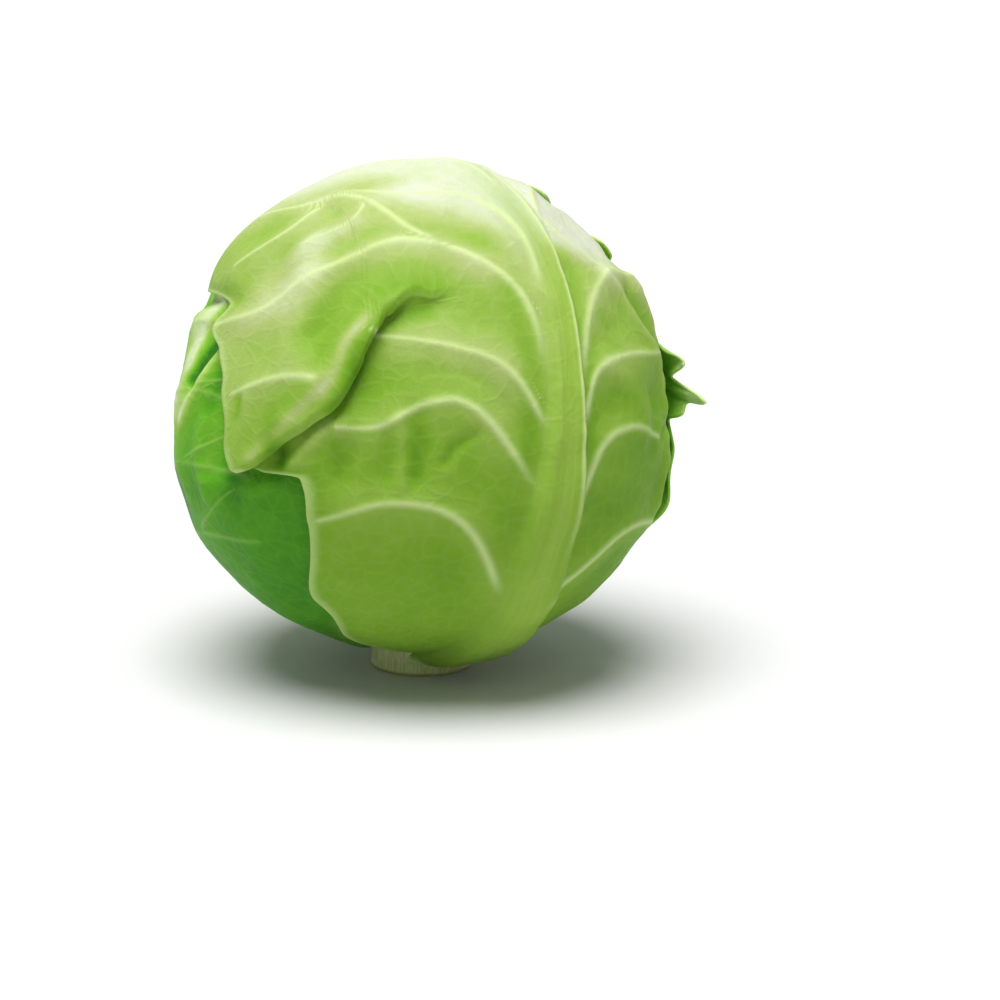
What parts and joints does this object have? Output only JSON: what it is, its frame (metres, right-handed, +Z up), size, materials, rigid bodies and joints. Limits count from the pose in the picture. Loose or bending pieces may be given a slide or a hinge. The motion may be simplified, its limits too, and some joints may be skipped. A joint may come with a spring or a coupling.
{
  "type": "cabbage head",
  "caption": "Whole round head of white cabbage with overlapping wrapper leaves, raised midribs and a cut stem underneath.",
  "frame": {"origin": "middle of the cut face of the stem, which the head stands on", "axes": "+Z up through the core to the crown, -Y towards the viewer and the large front leaf's side, +X to the viewer's right"},
  "size_m": [0.1986, 0.1882, 0.1901],
  "materials": {
    "stem": "pale fibrous stem, dull where it was cut",
    "heart": "pale waxy inner leaves",
    "leaf_pale": "waxy yellow-green leaf with pale veins",
    "leaf_green": "waxy deep green outer leaf with pale veins"
  },
  "bodies": {
    "root": {"stem": "stem", "heart": "heart", "leaf_back_loose": "leaf_green", "leaf_front": "leaf_pale", "leaf_left": "leaf_green", "leaf_right": "leaf_pale", "leaf_front_inner": "leaf_pale", "leaf_back_inner": "leaf_pale"}
  },
  "joints": []
}
